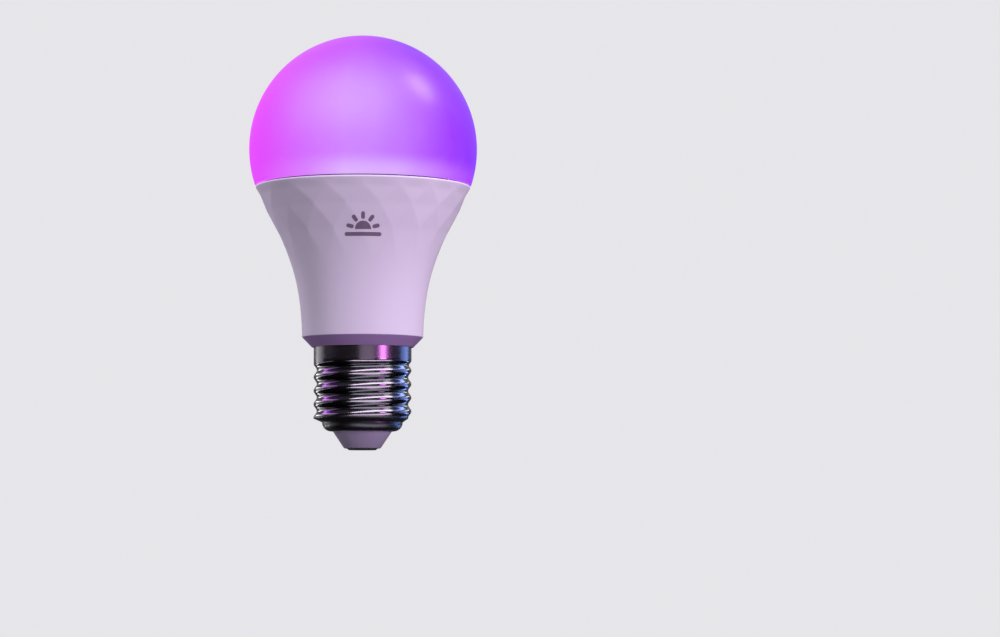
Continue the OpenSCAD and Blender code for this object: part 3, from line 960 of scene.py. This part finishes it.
def make_nose(finish):
    """Insulator: a blunt cone with a recess for the contact, and a flange in the cap."""
    top_r = CAP_RIM_R + 1.83 * MM
    mouth_r = 7.88 * MM
    tip_r = 4.85 * MM
    recess_r = contact_high.x + 0.05 * MM
    stem_hole_r = CONTACT_STEM_R + 0.05 * MM
    corners = [
        (recess_r, nose_low.z, 0.1 * MM),
        (tip_r, nose_low.z, 0.6 * MM),
        (mouth_r, CAP_RIM_Z, 0),
        (mouth_r, CAP_RIM_Z + 0.45 * MM, 0),
        (8.9 * MM, CAP_RIM_Z + 0.7 * MM, 0.2 * MM),
        (top_r, CAP_RIM_Z + 1.9 * MM, 0.3 * MM),
        (top_r, nose_high.z, 0.3 * MM),
        (stem_hole_r, nose_high.z, 0.2 * MM),
        (stem_hole_r, CONTACT_BACK_Z, 0),
        (recess_r, CONTACT_BACK_Z, 0),
    ]
    piece = turned("insulator_nose", rounded(corners, steps=8), around=180)
    piece.data.materials.append(finish)
    return carried(piece, "insulator_plastic", "cap_insulator")


def make_contact(finish):
    """Contact button, slightly dished at its edge, with its hollow stem."""
    face_r = 3.6 * MM
    edge_r = contact_high.x - 0.01 * MM
    bore_r = 0.8 * MM
    bore_end_z = 4 * MM
    corners = [
        (0, contact_low.z, 0),
        (face_r, contact_low.z, 0.3 * MM),
        (edge_r, nose_low.z, 0.15 * MM),
        (edge_r, CONTACT_BACK_Z, 0),
        (CONTACT_STEM_R, CONTACT_BACK_Z, 0),
        (CONTACT_STEM_R, contact_high.z, 0.15 * MM),
        (bore_r, contact_high.z, 0.15 * MM),
        (bore_r, bore_end_z, 0),
        (0, bore_end_z, 0),
    ]
    piece = turned("contact_button", rounded(corners, steps=6), around=144, closed=False)
    piece.data.materials.append(finish)
    return carried(piece, "contact_metal", "centre_contact")


# ---------------------------------------------------------------- the printed mark


def bar(start, end, width):
    """Outline of a round-ended bar between two points of the mark."""
    steps = 8
    along = (end - start).normalized()
    turn = math.atan2(along.y, along.x)
    outline = []
    for centre, first in ((end, turn - math.pi / 2), (start, turn + math.pi / 2)):
        for k in range(steps + 1):
            a = first + math.pi * k / steps
            outline.append(centre + width / 2 * Vector((math.cos(a), math.sin(a))))
    return outline


def half_disc(centre, radius):
    """Outline of the half disc above a point of the mark."""
    steps = 32
    points = []
    for k in range(steps + 1):
        a = math.pi * k / steps
        points.append(centre + radius * Vector((math.cos(a), math.sin(a))))
    return points


def make_mark(housing, finish):
    """A plain sun over a line, printed on the front of the flare."""
    width = 9.6 * MM
    low = 55.3 * MM
    stroke = 1 * MM
    disc_r = 2.1 * MM
    ray_from, ray_to = 3.0 * MM, 3.95 * MM
    ink_lift, ink_depth = 0.03 * MM, 0.06 * MM
    middle = Vector((0, low + 1.7 * MM))
    ends = width / 2 - stroke / 2
    line_z = low + stroke / 2
    shapes = [bar(Vector((-ends, line_z)), Vector((ends, line_z)), stroke)]
    shapes.append(half_disc(middle, disc_r))
    for angle in (14, 52, 90, 128, 166):
        way = Vector((math.cos(math.radians(angle)), math.sin(math.radians(angle))))
        shapes.append(bar(middle + ray_from * way, middle + ray_to * way, stroke))

    surface = bmesh.new()
    surface.from_mesh(housing.data)
    hull = BVHTree.FromBMesh(surface)

    def make(built):
        for outline in shapes:
            corners = [built.verts.new((p.x, 0, p.y)) for p in outline]
            built.faces.new(corners)
        cell = 0.3 * MM
        half_cells = 18
        for k in range(-half_cells, half_cells + 1):
            cut(built, Vector((k * cell, 0, 0)), Vector((1, 0, 0)))
            cut(built, Vector((0, 0, low + (k + half_cells) * cell)), Vector((0, 0, 1)))
        for point in built.verts:
            start = Vector((point.co.x, -2 * RIM_R, point.co.z))
            point.co = hull.ray_cast(start, Vector((0, 1, 0)))[0] - Vector((0, ink_lift, 0))
        back = bmesh.ops.extrude_face_region(built, geom=built.faces[:])["geom"]
        deeper = [part for part in back if isinstance(part, bmesh.types.BMVert)]
        bmesh.ops.translate(built, verts=deeper, vec=(0, ink_depth, 0))

    piece = new_piece("printed_sun", make)
    surface.free()
    smooth(piece, 40)
    piece.data.materials.append(finish)
    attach(piece, "root")


def cut(built, point, normal):
    """Cuts every face along a plane, and keeps both sides."""
    everything = built.verts[:] + built.edges[:] + built.faces[:]
    plane = {"plane_co": point, "plane_no": normal, "dist": SAME_POINT}
    bmesh.ops.bisect_plane(built, geom=everything, **plane)


# ---------------------------------------------------------------- lamps and screws inside

LOOP_POINTS = 48


def lofted(name, loops):
    """A closed skin over loops that all have the same number of points."""

    def make(built):
        rings = [[built.verts.new(point) for point in points] for points in loops]
        for low, high in zip(rings, rings[1:]):
            for k in range(len(low)):
                n = (k + 1) % len(low)
                built.faces.new((low[k], low[n], high[n], high[k]))
        built.faces.new(rings[0])
        built.faces.new(rings[-1])

    piece = new_piece(name, make)
    smooth(piece, 40)
    return piece


def loop(reach, z):
    """A level loop, whose distance from the middle reach(angle) gives."""
    angles = [2 * math.pi * k / LOOP_POINTS for k in range(LOOP_POINTS)]
    return [(reach(a) * math.cos(a), reach(a) * math.sin(a), z) for a in angles]


def circle(radius, z):
    return loop(lambda a: radius, z)


def rectangle(length, width, z, shrink=0.0):
    """A loop around a rectangle with softened corners, length along X."""
    half_x, half_y = length / 2 - shrink, width / 2 - shrink

    def reach(a):
        return (abs(math.cos(a) / half_x) ** 8 + abs(math.sin(a) / half_y) ** 8) ** (-1 / 8)

    return loop(reach, z)


def lamp_body(name, length, width, height, window_r):
    """Moulded lamp body with a tapered well, as it stands on the board at the origin."""
    edge = 0.08 * MM
    well = 0.6 * height
    return lofted(name, [
        rectangle(length, width, 0, edge),
        rectangle(length, width, edge),
        rectangle(length, width, height - edge),
        rectangle(length, width, height, edge),
        circle(window_r, height),
        circle(0.86 * window_r, height - well),
    ])


def lamp_gel(name, height, window_r, bulge):
    """The gel that fills a lamp's well and swells a little above it."""
    top_r = 0.97 * window_r
    loops = [circle(0.84 * window_r, 0.5 * height), circle(top_r, height)]
    for degrees in (15, 30, 45, 60, 75):
        a = math.radians(degrees)
        loops.append(circle(top_r * math.cos(a), height + bulge * math.sin(a)))
    return lofted(name, loops)


def cross_reach(arm, half_width):
    """The outline of a cross, as its distance from the middle at each angle."""

    def reach(a):
        nearest_arm = min(abs(math.sin(a)), abs(math.cos(a)))
        return min(arm, half_width / max(1e-6, nearest_arm))

    return reach


def make_lamps(rings, paint):
    """White lamps of two tints around the board, and colour lamps in the inner circle."""
    board_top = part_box("led_board")[1].z
    white_size = (2.8 * MM, 3.5 * MM, 0.6 * MM)
    colour_size = (5 * MM, 5 * MM, 1.4 * MM)
    white_ring, colour_ring = 19 * MM, 12.5 * MM
    kinds = [
        ("warm", 8, white_ring, math.pi / 8, white_size, 1.15 * MM, 0.12 * MM),
        ("cool", 8, white_ring, 0.0, white_size, 1.15 * MM, 0.12 * MM),
        ("colour", 6, colour_ring, 0.0, colour_size, 2.0 * MM, 0.1 * MM),
    ]
    for tint, count, ring_r, first, (length, width, height), window_r, bulge in kinds:
        body = lamp_body(f"{tint}_lamp_bodies", length, width, height, window_r)
        gel = lamp_gel(f"{tint}_lamp_gels", height, window_r, bulge)
        for piece, slot in ((body, "white_plastic"), (gel, f"{tint}_lamp")):
            rings.apply(
                piece,
                paint[slot],
                Count=count,
                Ring_radius=ring_r,
                Height=board_top,
                First_angle=first,
            )
            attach(piece, "root")
        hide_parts(f"{tint}_leds")


def make_screws(rings, roller, paint):
    """Three pan-head screws with a cross recess and a rolled thread."""
    low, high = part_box("board_screws")
    board_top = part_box("led_board")[1].z
    length = board_top - low.z
    shank_r, head_r = 1.25 * MM, 2.2 * MM
    rows, tip_rows = 80, 4
    loops = [circle(0.6 * shank_r, -length)]
    loops += [circle(shank_r, -length * (1 - k / rows)) for k in range(tip_rows, rows)]
    brim = 0.12 * MM
    loops += [circle(shank_r, 0), circle(head_r - 0.1 * MM, 0), circle(head_r, brim)]
    for degrees in (12, 24, 36, 48, 60):
        a = math.radians(degrees)
        r = head_r - 0.8 * MM * (1 - math.cos(a))
        loops.append(circle(r, brim + 1.1 * MM * math.sin(a)))
    arm, half_width = 1.2 * MM, 0.3 * MM
    crown = high.z - board_top - 0.03 * MM
    recess = high.z - board_top - 0.7 * MM
    loops.append(circle(1.5 * MM, crown))
    loops.append(loop(cross_reach(arm, half_width), crown))
    loops.append(loop(cross_reach(0.7 * arm, 0.8 * half_width), recess))
    screws = lofted("pan_head_screws", loops)
    steel = paint["screw_steel"]
    roller.apply(
        screws,
        steel,
        Pitch=0.7 * MM,
        Depth=0.17 * MM,
        Top=-2 * MM,
        Run_out=0.6 * MM,
        Bottom=-length + 0.5 * MM,
        Start=0.0,
        Reach=1.2 * MM,
    )
    rings.apply(
        screws,
        steel,
        Count=3,
        Ring_radius=13.8 * MM,
        Height=board_top,
        First_angle=math.radians(30),
    )
    smooth(screws, 40)
    carried(screws, "screw_steel", "board_screws")


# ---------------------------------------------------------------- studio


def make_camera():
    """A long lens level with the foot of the cap, tilted up a little."""
    lens = bpy.data.cameras.new("camera")
    lens.sensor_width = 36
    lens.lens = 99.8
    lens.clip_start = 0.01
    lens.clip_end = 100
    camera = bpy.data.objects.new("camera", lens)
    camera.location = (0, -0.74, -0.012)
    camera.rotation_euler = (math.radians(93.65), 0, math.radians(-2.84))
    bpy.context.scene.collection.objects.link(camera)
    bpy.context.scene.camera = camera


def soft_light(name, place, size, power, colour=(1, 1, 1), aim=(0, 0, 0.055)):
    """An area light that faces the point aim and that the camera doesn't see."""
    lamp = bpy.data.lights.new(name, "AREA")
    lamp.shape = "RECTANGLE"
    lamp.size, lamp.size_y = size
    lamp.energy = power
    lamp.color = colour
    holder = bpy.data.objects.new(name, lamp)
    holder.location = place
    way = Vector(aim) - Vector(place)
    holder.rotation_euler = way.to_track_quat("-Z", "Y").to_euler()
    holder.visible_camera = False
    bpy.context.scene.collection.objects.link(holder)
    return holder


def make_room():
    """Light for the lamp comes down from a bright ceiling, and little comes back up."""
    world = bpy.data.worlds.new("pale_room")
    world.use_nodes = True
    bpy.context.scene.world = world
    room = Nodes(world.node_tree)
    z = room.split(room.add("ShaderNodeTexCoord").outputs["Generated"])[2]
    colours = {0: room.step(z, -0.5, 0.9), 6: rgba(0.04, 0.04, 0.045), 7: rgba(0.62, 0.61, 0.64)}
    light = room.add("ShaderNodeMix", {"data_type": "RGBA"}, colours).outputs[2]
    back = room.add("ShaderNodeBackground", None, {"Color": light, "Strength": 1.0})
    room.add("ShaderNodeOutputWorld", None, {"Surface": back.outputs[0]})


def make_backdrop():
    """A pale floor that sweeps up into a round wall, so that no horizon shows."""
    floor_z = -0.07
    floor_r, bend, top = 3.0, 2.0, 6.0
    outline = [(0, floor_z), (1.0, floor_z)]
    outline += arc(floor_z + bend, bend, -90, 0, steps=24, centre_r=floor_r)
    outline.append((floor_r + bend, top))
    floor = turned("floor", outline, around=96, closed=False)
    s = Shading("pale_paper")
    mottle = s.noise(0.05, detail=3.0)
    paper = s.mix(mottle * 0.3, rgba(0.80, 0.79, 0.82), rgba(0.77, 0.76, 0.79))
    floor.data.materials.append(s.finish(
        Base_Color=rgba(0.003, 0.003, 0.003),
        Roughness=0.9,
        Specular_IOR_Level=0.0,
        Emission_Color=paper,
        Emission_Strength=1.0,
    ))
    floor.visible_diffuse = False
    floor.visible_glossy = False
    floor.visible_shadow = False


def make_studio(cap):
    """Broad lights for the whole lamp, one glint on the dome, and narrow strips that only
    the plated cap mirrors."""
    bpy.context.scene.view_settings.view_transform = "Standard"
    make_room()
    make_backdrop()
    white = (1.0, 0.98, 1.0)
    broad = [
        ("key_right", (0.50, -0.56, 0.13), (0.28, 0.40), 5.3, (1.0, 0.94, 0.99)),
        ("right_fill", (0.78, 0.05, 0.0), (0.4, 0.5), 0.5, (1.0, 0.97, 1.0)),
        ("left_fill", (-0.76, -0.25, 0.06), (0.5, 0.7), 1.4, (0.97, 1.0, 0.96)),
        ("bounce_left", (-0.65, -0.06, -0.38), (0.5, 0.5), 0.8, (0.97, 1.0, 0.97)),
        ("back_fill", (-0.5, 0.65, 0.15), (0.5, 0.6), 2.4, white),
    ]
    for light in broad:
        soft_light(*light).visible_glossy = False
    glint = soft_light("dome_glint", (0.505, -0.03, 0.64), (0.17, 0.26), 3.0, aim=(0, 0, GLOBE_Z))
    glint.visible_diffuse = False

    mirrored = bpy.data.collections.new("mirrored_in_cap")
    mirrored.objects.link(cap)
    pink, violet, blue = (1.0, 0.35, 1.0), (0.7, 0.25, 1.0), (0.25, 0.4, 1.0)
    strips = [
        ("stripe_front", (0.13, -0.70, 0.03), (0.44, 0.30), 2.6, (1.0, 0.85, 1.0)),
        ("stripe_right", (0.56, -0.49, 0.03), (0.19, 0.30), 14.0, pink),
        ("stripe_edge", (0.66, 0.33, 0.03), (0.42, 0.30), 4.0, blue),
        ("stripe_left", (-0.60, 0.40, 0.03), (0.44, 0.30), 1.4, white),
        ("thread_high", (0.20, -0.40, 0.59), (1.3, 0.35), 70.0, white),
        ("thread_low", (0.20, -0.40, -0.55), (1.3, 0.35), 42.0, white),
        ("thread_left", (-0.56, 0.10, 0.40), (0.70, 0.12), 6.0, violet),
        ("thread_right", (0.53, 0.19, 0.40), (0.60, 0.10), 5.0, blue),
        ("edge_left_high", (-0.65, 0.26, 0.24), (1.10, 0.06), 3.6, white),
        ("edge_left_low", (-0.65, 0.26, -0.24), (1.10, 0.05), 2.3, white),
        ("edge_right_high", (0.63, 0.30, 0.24), (0.90, 0.05), 1.8, white),
        ("edge_right_low", (0.63, 0.30, -0.22), (0.90, 0.06), 3.0, blue),
    ]
    for light in strips:
        strip = soft_light(*light, aim=(0, 0, 0.017))
        strip.visible_diffuse = False
        strip.light_linking.receiver_collection = mirrored


# ---------------------------------------------------------------- the whole lamp

paint = finishes()
for subpart in frame["record"]["subparts"]:
    node = frame["nodes"][subpart["node"]]
    node.data.materials.clear()
    node.data.materials.append(paint[subpart["material_slot"]])

roller = thread_roller()

make_dome(paint["diffuser"])
make_bead(paint["silicone"])
housing = make_housing(paint["housing_plastic"])
make_mark(housing, paint["printed_ink"])
cap = make_cap(paint["cap_metal"], roller)
make_nose(paint["insulator_plastic"])
make_contact(paint["contact_metal"])

rings = ring_setter()
make_lamps(rings, paint)
make_screws(rings, roller, paint)

make_studio(cap)
make_camera()
